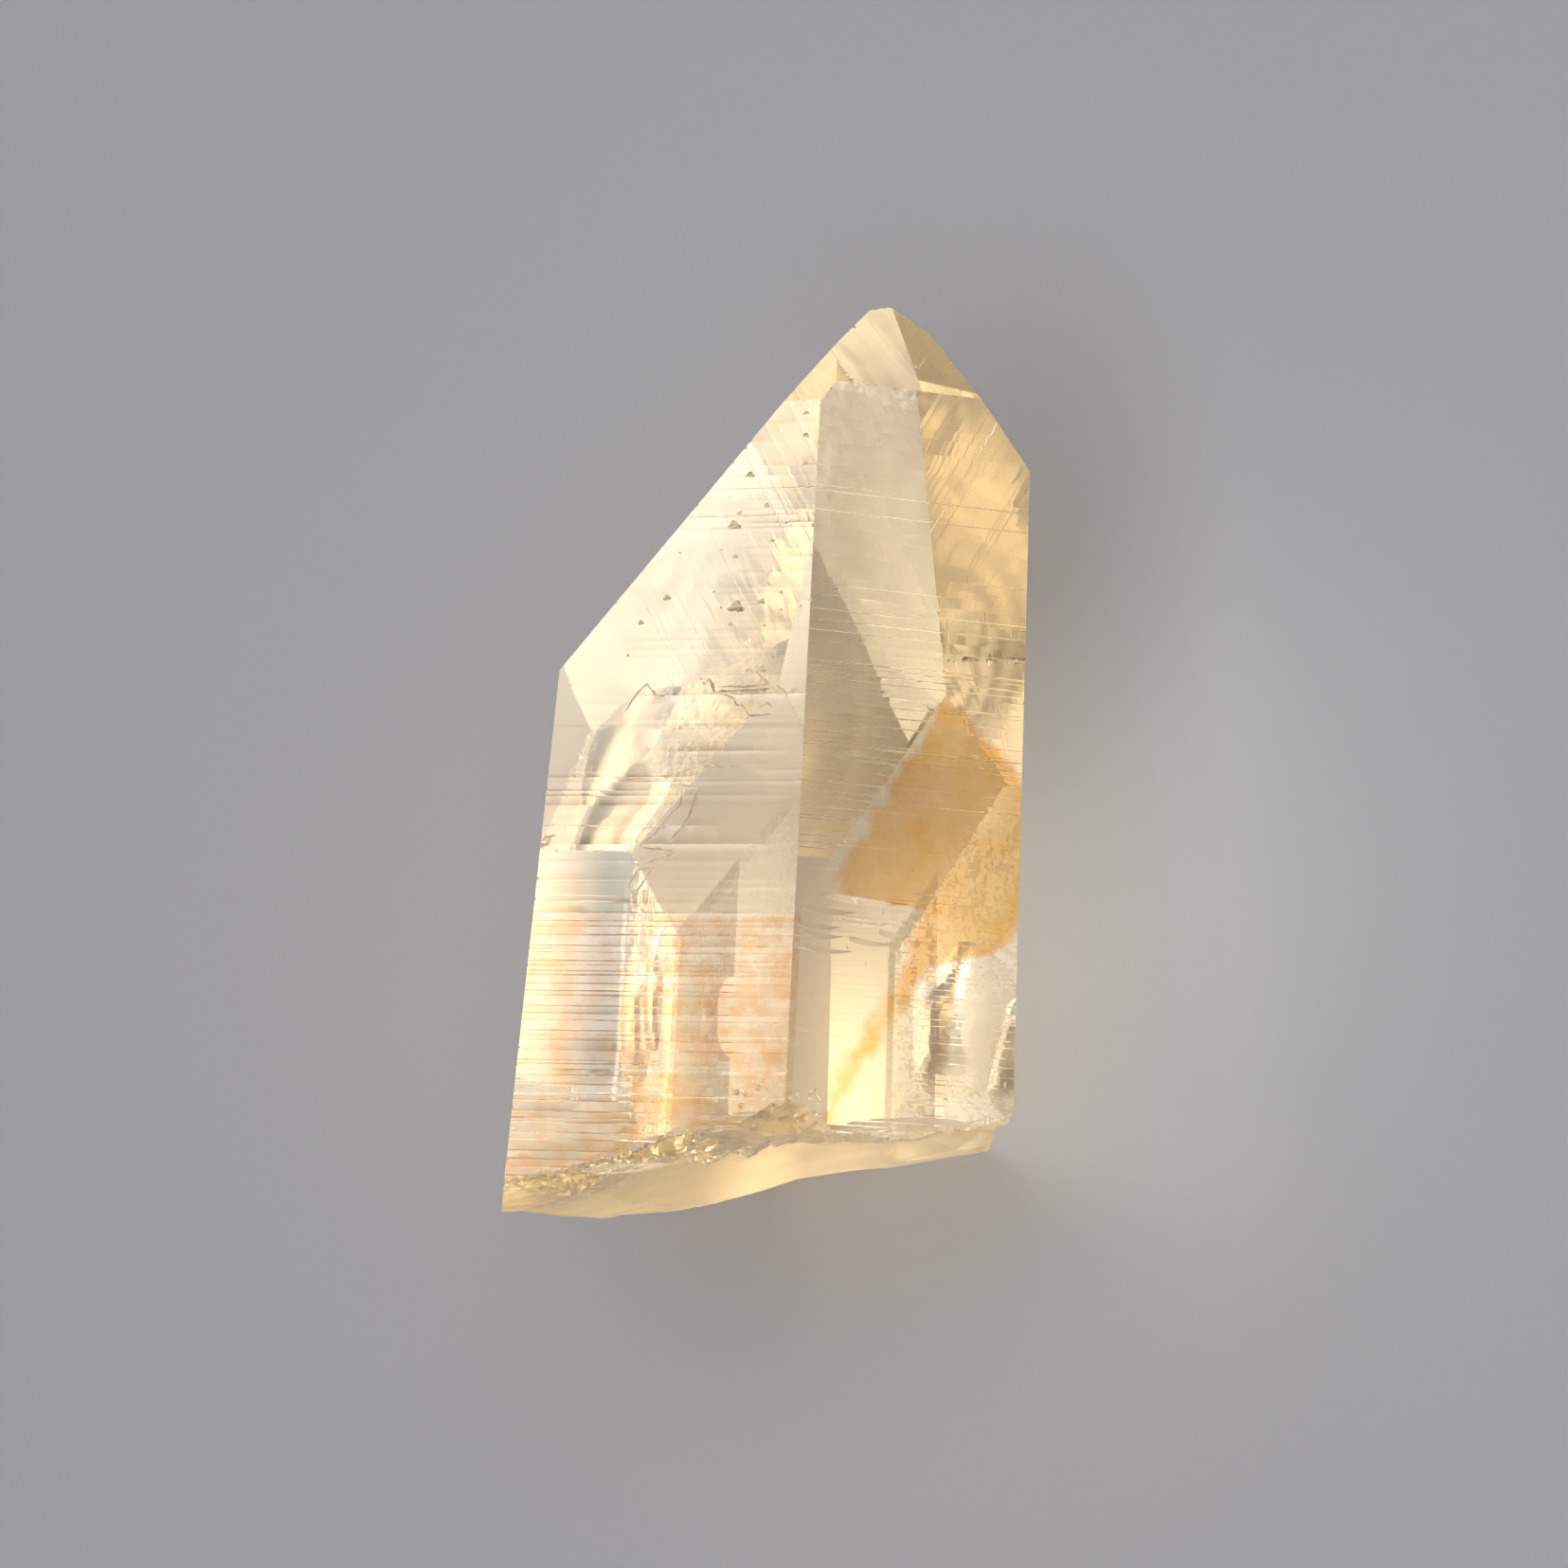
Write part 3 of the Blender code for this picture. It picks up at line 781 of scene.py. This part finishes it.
# %% Creases and upright places
CREASE = math.radians(2.5)
BREAK_CREASE = math.radians(14.0)
mesh = crystal.data
upright = mesh.attributes.new("upright", "FLOAT_VECTOR", "POINT")
upright.data.foreach_set("vector", [c / MM for v in mesh.vertices for c in v.co])
on_break = [item.value > 0.5 for item in mesh.attributes["broken"].data]
surface = bmesh.new()
surface.from_mesh(mesh)
for edge in surface.edges:
    ends = [on_break[face.index] for face in edge.link_faces]
    limit = BREAK_CREASE if all(ends) else CREASE
    edge.smooth = edge.calc_face_angle(0.0) < limit and len(set(ends)) == 1
for face in surface.faces:
    face.smooth = True
surface.to_mesh(mesh)
surface.free()
print("faces on the fracture:", sum(on_break), "on chips:",
      sum(item.value > 0.5 for item in mesh.attributes["chipped"].data))

# %% [markdown]
# ## Laying the crystal down
#
# The crystal can't stand on its broken end, so it lies on its back right prism face, with the tip
# towards +Y. We turn the mesh itself, so that the box round it is exact, and then tell the frame which
# body it rides on and which model it replaces.

# %% Lay the crystal on its resting face
LAID_AT = Vector((8.432, 18.253, 30.216)) * MM
down = FACES["prism", RESTING_SIDE][0]
axis = Vector((0.0, 0.0, 1.0))
ahead = (axis - down * axis.dot(down)).normalized()
sideways = ahead.cross(-down)
mesh.transform(Matrix.Translation(LAID_AT) @ Matrix((sideways, ahead, -down)).to_4x4())
mesh.update()
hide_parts("crystal")
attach(crystal, "root")
print("crystal laid on its face:", RESTING_SIDE)

# %% [markdown]
# ## Colours and nodes
#
# Two small helpers serve all the finishes: one turns a colour written as a hex code into the linear
# values that Blender works with, and one adds a node with its settings, its values and its links.

# %% Colours and nodes


def colour(code):
    """A hex sRGB colour as linear red, green, blue and alpha."""
    shades = [int(code[i:i + 2], 16) / 255.0 for i in (1, 3, 5)]
    return [s / 12.92 if s <= 0.04045 else ((s + 0.055) / 1.055) ** 2.4 for s in shades] + [1.0]


def add_node(tree, kind, settings=None, inputs=None, links=None):
    """Adds a shader node, sets its properties and sockets, and links sockets or whole nodes into it."""
    node = tree.nodes.new("ShaderNode" + kind)
    for name, value in (settings or {}).items():
        setattr(node, name, value)
    for socket, value in (inputs or {}).items():
        node.inputs[socket].default_value = value
    for socket, source in (links or {}).items():
        if isinstance(source, bpy.types.Node):
            source = source.outputs[0]
        tree.links.new(source, node.inputs[socket])
    return node


print("deep gold in linear light:", [round(value, 2) for value in colour("#EBA436")])

# %% [markdown]
# ## Places on a face
#
# The golden film and the painted orange reflection lie on single faces, like a film on glass. A point's place
# on a face is a dot product with one of the face's own directions. A point with almost no depth is on the
# skin of that face, and not on a face behind it.

# %% Places on a face
ACROSS, UP, OUT = range(3)  # the directions of a face
SKIN = 0.4  # what lies less deep than this under a face is its skin, in mm


def along(tree, in_mm, side, way):
    """How far a point is from the foot of a prism face in one of the face's own directions, in mm."""
    direction = frame_of(("prism", side)).to_3x3().transposed()[way]
    place = add_node(tree, "VectorMath", {"operation": "DOT_PRODUCT"}, {1: direction}, {0: in_mm})
    foot = FACES["prism", side][1]
    return add_node(tree, "Math", {"operation": "SUBTRACT"}, {1: foot.dot(direction) / MM},
                    {0: place.outputs["Value"]})


def on_skin(tree, in_mm, side):
    """1 where a point is on the skin of a prism face, 0 elsewhere."""
    depth = along(tree, in_mm, side, OUT)
    return add_node(tree, "Math", {"operation": "GREATER_THAN"}, {1: -SKIN}, {0: depth})


print("skin of a face, mm:", SKIN)

# %% [markdown]
# ## The golden film
#
# Golden healer quartz gets its name from a thin film of iron oxide, here on the front right face. It
# covers a slanting band with frayed borders, from the middle of the face down to the broken end. Each
# border is a curve: it gives the place across the face for every level. The film is thicker in some
# streaks, so its gold goes from pale to deep.

# %% The golden film
FILM_LEVELS = (-21.0, 6.0)  # lowest and highest level of the film, in mm up the face
FILM_LEFT = (  # (level, place across) of its left border, in mm
    (-21.0, -6.4), (-18.2, -5.4), (-16.0, -4.5), (-13.8, -3.0), (-11.6, -1.1), (-9.4, -0.2), (-7.1, 0.6),
    (-6.6, -4.9), (-5.0, -4.8), (5.4, 2.4), (6.0, 2.6),
)
FILM_RIGHT = (  # and of its right border
    (-21.0, -5.6), (-18.1, -3.9), (-15.9, -2.3), (-13.7, -0.5), (-11.5, 0.5), (-10.3, 1.7), (-9.8, 4.0),
    (-8.8, 7.5), (-7.0, 9.0), (0.4, 8.4), (5.4, 2.6), (6.0, 2.4),
)
FILM_WIDTH = 20.0  # width that the border curves can span, in mm


def inside_border(tree, level_share, across, points, sign):
    """How far a place is inside a border of the film, in mm; sign is 1 for the left one, -1 for the right."""
    border = add_node(tree, "FloatCurve", {}, {}, {"Value": level_share})
    curve = border.mapping.curves[0]
    lowest, highest = FILM_LEVELS
    spots = [((level - lowest) / (highest - lowest), place / FILM_WIDTH + 0.5) for level, place in points]
    curve.points[0].location = spots[0]
    curve.points[1].location = spots[-1]
    for spot in spots[1:-1]:
        curve.points.new(*spot)
    for point in curve.points:
        point.handle_type = "VECTOR"
    border.mapping.update()
    at = add_node(tree, "Math", {"operation": "MULTIPLY_ADD"},
                  {1: -sign * FILM_WIDTH, 2: sign * FILM_WIDTH / 2.0}, {0: border})
    return add_node(tree, "Math", {"operation": "MULTIPLY_ADD"}, {1: sign}, {0: across, 2: at})


def film_cover(tree, in_mm, blotches):
    """1 where the golden film covers the front right face, 0 elsewhere."""
    across = along(tree, in_mm, "front_right", ACROSS)
    level = along(tree, in_mm, "front_right", UP)
    share = add_node(tree, "MapRange", {}, {"From Min": FILM_LEVELS[0], "From Max": FILM_LEVELS[1]},
                     {"Value": level})
    from_left = inside_border(tree, share, across, FILM_LEFT, 1.0)
    from_right = inside_border(tree, share, across, FILM_RIGHT, -1.0)
    least = add_node(tree, "Math", {"operation": "MINIMUM"}, {}, {0: from_left, 1: from_right})
    fray = add_node(tree, "Math", {"operation": "MULTIPLY_ADD"}, {1: 2.6, 2: -1.3}, {0: blotches})
    edge = add_node(tree, "Math", {"operation": "ADD"}, {}, {0: least, 1: fray})
    film = add_node(tree, "MapRange", {"interpolation_type": "SMOOTHSTEP"},
                    {"From Min": -0.4, "From Max": 0.9}, {"Value": edge})
    return add_node(tree, "Math", {"operation": "MULTIPLY"}, {},
                    {0: film, 1: on_skin(tree, in_mm, "front_right")})


def film_gold(tree, in_mm):
    """The film's colour, from pale to deep gold in soft streaks."""
    streaks = add_node(tree, "TexNoise", {}, {"Scale": 0.35, "Detail": 5.0, "Roughness": 0.65},
                       {"Vector": in_mm})
    thick = add_node(tree, "MapRange", {}, {"From Min": 0.35, "From Max": 0.65}, {"Value": streaks})
    return add_node(tree, "Mix", {"data_type": "RGBA"}, {6: colour("#F5C57C"), 7: colour("#EBA436")},
                    {0: thick}).outputs[2]


print("points on the film's borders:", len(FILM_LEFT), len(FILM_RIGHT))

# %% [markdown]
# ## The painted orange reflection
#
# On the lower front left face, a weak orange is painted into the colour as a painted reflection of warm
# surroundings. It starts at a sharp line where the face parts, it is patchy, and it never hides the quartz.

# %% The painted orange reflection
PAINTED_REFLECTION_LEVEL = -8.0  # where the painted orange reflection starts, in mm up the face
PAINTED_REFLECTION_BORDER = 0.3  # in mm


def painted_reflection_cover(tree, in_mm, blotches):
    """How strong the painted orange reflection is on the lower front left face."""
    level = along(tree, in_mm, "front_left", UP)
    low = add_node(tree, "MapRange", {}, {"From Min": PAINTED_REFLECTION_LEVEL, "From Max": PAINTED_REFLECTION_LEVEL - PAINTED_REFLECTION_BORDER},
                   {"Value": level})
    patchy = add_node(tree, "MapRange", {}, {"From Min": 0.4, "From Max": 0.6, "To Min": 0.3},
                      {"Value": blotches})
    painted_reflection = add_node(tree, "Math", {"operation": "MULTIPLY"}, {}, {0: low, 1: patchy})
    return add_node(tree, "Math", {"operation": "MULTIPLY"}, {},
                    {0: painted_reflection, 1: on_skin(tree, in_mm, "front_left")})


print("the stain starts at level, mm:", PAINTED_REFLECTION_LEVEL)

# %% [markdown]
# ## How dull the surface is
#
# Natural faces are glossy. The lower part of the resting face was etched matt in small patches. The
# fracture is glassy in front, where the break started, and duller towards the back, with dull splinters.
# Chips and etched marks are finely frosted, because they are too small for their own steps to show.

# %% How dull the surface is
POLISH = 0.015  # roughness of a natural face
FROSTED = {"chipped": 0.365, "etched": 0.22}
MATT_HEIGHTS = (-18.0, -22.0)  # the matt patches grow between these heights, in mm
BREAK_DULL = (0.08, 0.55)  # least roughness of the fracture in front and at the back
BREAK_DEPTHS = (9.0, 15.0)  # where that changes, in mm from the front


def dullness(tree, in_mm, is_broken):
    """Roughness of the whole crystal: the dullest of all that lies on a place."""
    grain = add_node(tree, "TexNoise", {}, {"Scale": 1.6, "Detail": 6.0, "Roughness": 0.7},
                     {"Vector": in_mm})
    apart = add_node(tree, "SeparateXYZ", {}, {}, {0: in_mm})
    patches = add_node(tree, "MapRange", {}, {"From Min": 0.47, "From Max": 0.56, "To Max": 0.4},
                       {"Value": grain})
    low = add_node(tree, "MapRange", {}, {"From Min": MATT_HEIGHTS[0], "From Max": MATT_HEIGHTS[1]},
                   {"Value": apart.outputs["Z"]})
    matt = add_node(tree, "Math", {"operation": "MULTIPLY"}, {}, {0: patches, 1: low})
    matt = add_node(tree, "Math", {"operation": "MULTIPLY"}, {},
                    {0: matt, 1: on_skin(tree, in_mm, RESTING_SIDE)})
    least = add_node(tree, "MapRange", {}, {"From Min": BREAK_DEPTHS[0], "From Max": BREAK_DEPTHS[1],
                                            "To Min": BREAK_DULL[0], "To Max": BREAK_DULL[1]},
                     {"Value": apart.outputs["Y"]})
    splintery = add_node(tree, "MapRange", {}, {"From Min": 0.35, "From Max": 0.65, "To Max": 0.5},
                         {"Value": grain, "To Min": least})
    dull = add_node(tree, "Mix", {"data_type": "FLOAT"}, {}, {0: is_broken, 2: matt, 3: splintery})
    for mark, frosted in FROSTED.items():
        is_marked = add_node(tree, "Attribute", {"attribute_name": mark}).outputs["Fac"]
        rough = add_node(tree, "Math", {"operation": "MULTIPLY_ADD"}, {1: frosted - POLISH, 2: POLISH},
                         {0: is_marked})
        dull = add_node(tree, "Math", {"operation": "MAXIMUM"}, {}, {0: dull, 1: rough})
    return dull.outputs[0]


print("roughness of a natural face:", POLISH)

# %% [markdown]
# ## Golden quartz
#
# Quartz is clear. A trace of iron gives the whole body a pale gold by absorption: the longer the way through
# the crystal, the deeper the colour. The film, the orange that is a painted reflection, and the earthy tint
# of the fracture lie on the surface, so they are in the base colour, which tints light only as it enters or
# leaves.

# %% Golden quartz
QUARTZ_IOR = 1.544
BODY_GOLD = (0.9, 0.7, 0.15, 1.0)  # the light that the body lets through, linear
BODY_DENSITY = 7.0


def golden_quartz():
    material = bpy.data.materials.new("natural golden quartz")
    material.use_nodes = True
    tree = material.node_tree
    shader = tree.nodes["Principled BSDF"]
    shader.inputs["IOR"].default_value = QUARTZ_IOR
    shader.inputs["Transmission Weight"].default_value = 1.0
    in_mm = add_node(tree, "Attribute", {"attribute_name": "upright"}).outputs["Vector"]
    is_broken = add_node(tree, "Attribute", {"attribute_name": "broken"}).outputs["Fac"]
    blotches = add_node(tree, "TexNoise", {}, {"Scale": 0.7, "Detail": 4.0, "Roughness": 0.6},
                        {"Vector": in_mm})
    film = film_cover(tree, in_mm, blotches)
    painted_reflection = painted_reflection_cover(tree, in_mm, blotches)
    tint = add_node(tree, "Mix", {"data_type": "RGBA"}, {6: colour("#FFFBF2")},
                    {0: film, 7: film_gold(tree, in_mm)})
    # The orange mixed in here is a painted reflection of warm light; the fracture's earthy tint is its own
    # colour.
    for cover, shade in ((painted_reflection, "#F9BE84"), (is_broken, "#F9DBAA")):
        tint = add_node(tree, "Mix", {"data_type": "RGBA"}, {7: colour(shade)},
                        {0: cover, 6: tint.outputs[2]})
    tree.links.new(tint.outputs[2], shader.inputs["Base Color"])
    tree.links.new(dullness(tree, in_mm, is_broken), shader.inputs["Roughness"])
    body = add_node(tree, "VolumeAbsorption", {}, {"Color": BODY_GOLD, "Density": BODY_DENSITY})
    tree.links.new(body.outputs["Volume"], tree.nodes["Material Output"].inputs["Volume"])
    return material


mesh.materials.clear()
mesh.materials.append(golden_quartz())
print("material:", mesh.materials[0].name)

# %% [markdown]
# ## Floor and room
#
# The crystal lies on a large sheet of matt paper. A weak warm light from all around keeps the darkest
# corners of the crystal from going black.

# %% Floor and room
floor_bm = bmesh.new()
bmesh.ops.create_grid(floor_bm, x_segments=4, y_segments=4, size=3.0)
floor = new_object("floor", floor_bm)
paper = bpy.data.materials.new("matt paper")
paper.use_nodes = True
paper_shader = paper.node_tree.nodes["Principled BSDF"]
paper_shader.inputs["Base Color"].default_value = colour("#E0E5EE")
paper_shader.inputs["Roughness"].default_value = 0.9
floor.data.materials.append(paper)

world = bpy.data.worlds.new("studio")
bpy.context.scene.world = world
world.use_nodes = True
background = world.node_tree.nodes["Background"]
background.inputs["Color"].default_value = colour("#F4DCBC")
background.inputs["Strength"].default_value = 0.12
print("floor:", floor.name)

# %% [markdown]
# ## Lights
#
# A clear crystal shows its surroundings, bent by its faces. So it is lit by large soft panels on all
# sides, each of which fills a few facets. Their rims fade, or they would show as hard edges in the
# crystal. Only the overhead panel lights the floor, which keeps the shadow simple.

# %% Lights


def light_panel(name, spot, aim, size, strength, shade, fade=0.15, on_floor=False):
    """A rectangular light that fades towards its rim; the crystal sees it, and the floor if asked to."""
    light = bpy.data.lights.new(name, "AREA")
    light.shape = "RECTANGLE"
    light.size, light.size_y = size
    light.energy = strength * size[0] * size[1] * math.pi
    light.color = colour(shade)[:3]
    light.use_nodes = True
    tree = light.node_tree
    place = add_node(tree, "NewGeometry").outputs["Parametric"]
    apart = add_node(tree, "SeparateXYZ", {}, {}, {0: place})
    sides = []
    for axis_name in ("X", "Y"):
        off = add_node(tree, "Math", {"operation": "SUBTRACT"}, {1: 0.5}, {0: apart.outputs[axis_name]})
        off = add_node(tree, "Math", {"operation": "ABSOLUTE"}, {}, {0: off})
        sides.append(add_node(tree, "MapRange", {"interpolation_type": "SMOOTHSTEP"},
                              {"From Min": 0.5, "From Max": 0.5 - fade}, {"Value": off}))
    glow = add_node(tree, "Math", {"operation": "MULTIPLY"}, {}, {0: sides[0], 1: sides[1]})
    tree.links.new(glow.outputs[0], tree.nodes["Emission"].inputs["Strength"])
    panel = bpy.data.objects.new(name, light)
    bpy.context.scene.collection.objects.link(panel)
    panel.location = spot
    panel.rotation_mode = "QUATERNION"
    panel.rotation_quaternion = (Vector(spot) - Vector(aim)).to_track_quat("Z", "Y")
    panel.visible_camera = False
    panel.visible_diffuse = on_floor


def softbox(name, azimuth, elevation, width, height, strength, shade, on_floor=False):
    """A softbox one metre away; its place and its size are angles in degrees, seen from the crystal."""
    around, rise = math.radians(azimuth), math.radians(elevation)
    spot = Vector((math.cos(around) * math.cos(rise), math.sin(around) * math.cos(rise), math.sin(rise)))
    size = [2.0 * math.tan(math.radians(angle / 2.0)) for angle in (width, height)]
    light_panel(name, spot, (0, 0, 0), size, strength, shade, on_floor=on_floor)


def card(name, x, y, strength, shade):
    """A bright card on the table under the crystal, from and to these places in mm."""
    spot = Vector((sum(x) / 2.0, sum(y) / 2.0, 0.4)) * MM
    size = ((x[1] - x[0]) * MM, (y[1] - y[0]) * MM)
    light_panel(name, spot, spot + Vector((0.0, 0.0, 1.0)), size, strength, shade, fade=0.4)


softbox("overhead", 0, 80, 70, 62, 1.25, "#F6F6FA", on_floor=True)
softbox("top left", 180, 75, 42, 32, 1.2, "#F4F6FF")
softbox("top front", 270, 75, 42, 32, 1.2, "#FFEACC")
softbox("upper left", 144, 51, 26, 21, 7.5, "#FFFCF4")
for azimuth in (125, 180, 235):
    softbox("low left", azimuth, 13, 62, 29, 1.6, "#F2F4FC")
softbox("middle left", 180, 34, 72, 18, 1.6, "#E6F0FF")
for azimuth in (8, 60):
    softbox("from the right", azimuth, 21, 54, 45, 0.95, "#FFE4AA")
softbox("high on the right", 36, 51, 66, 20, 1.2, "#FFB888")
softbox("high in front", 306, 51, 50, 20, 1.8, "#FFFCF0")
card("card under the base", (-8, 24), (-56, -35), 1.7, "#FFECCC")
card("card under the left side", (-25, -4), (-43, -6), 1.0, "#FFEABC")
card("card under the middle", (-17, 4), (-38, 0), 0.4, "#FFF0D8")
card("card under the tip", (-15, 5), (-4, 27), 0.5, "#FFE8C8")
card("card on the right", (9, 35), (-29, -6), 0.65, "#EAF2FF")
light_panel("card standing on the right", (0.11, -0.025, 0.02), (0.0, -0.025, 0.02), (0.1, 0.04),
            1.25, "#FFE8D0", fade=0.2)
bpy.context.scene.view_settings.view_transform = "Standard"
print("lights:", len(bpy.data.lights))

# %% [markdown]
# ## Camera
#
# The camera looks down on the crystal from about 43 cm away, with a long lens that keeps its edges
# nearly parallel. From its direction the two front faces are seen side by side.

# %% Camera
LENS = 163.58  # in mm, on a sensor 36 mm wide
CAMERA_SPOT = Vector((195.54, -26.45, 383.41)) * MM
CAMERA_LOOK = Vector((-0.46778, 0.06178, -0.88168)).normalized()
CAMERA_UP = Vector((0.00397, 0.99769, 0.0678)).normalized()

camera = bpy.data.objects.new("camera", bpy.data.cameras.new("camera"))
bpy.context.scene.collection.objects.link(camera)
bpy.context.scene.camera = camera
camera.data.sensor_width = 36.0
camera.data.lens = LENS
camera_axes = Matrix((CAMERA_LOOK.cross(CAMERA_UP), CAMERA_UP, -CAMERA_LOOK)).transposed().to_4x4()
camera.matrix_world = Matrix.Translation(CAMERA_SPOT) @ camera_axes
print("camera distance, mm:", round(CAMERA_SPOT.length / MM))

# %% [markdown]
# ## Finish
#
# The crystal stays inside the model's box, because everything that was cut into it goes inwards.

# %% Finish
bpy.context.view_layer.update()
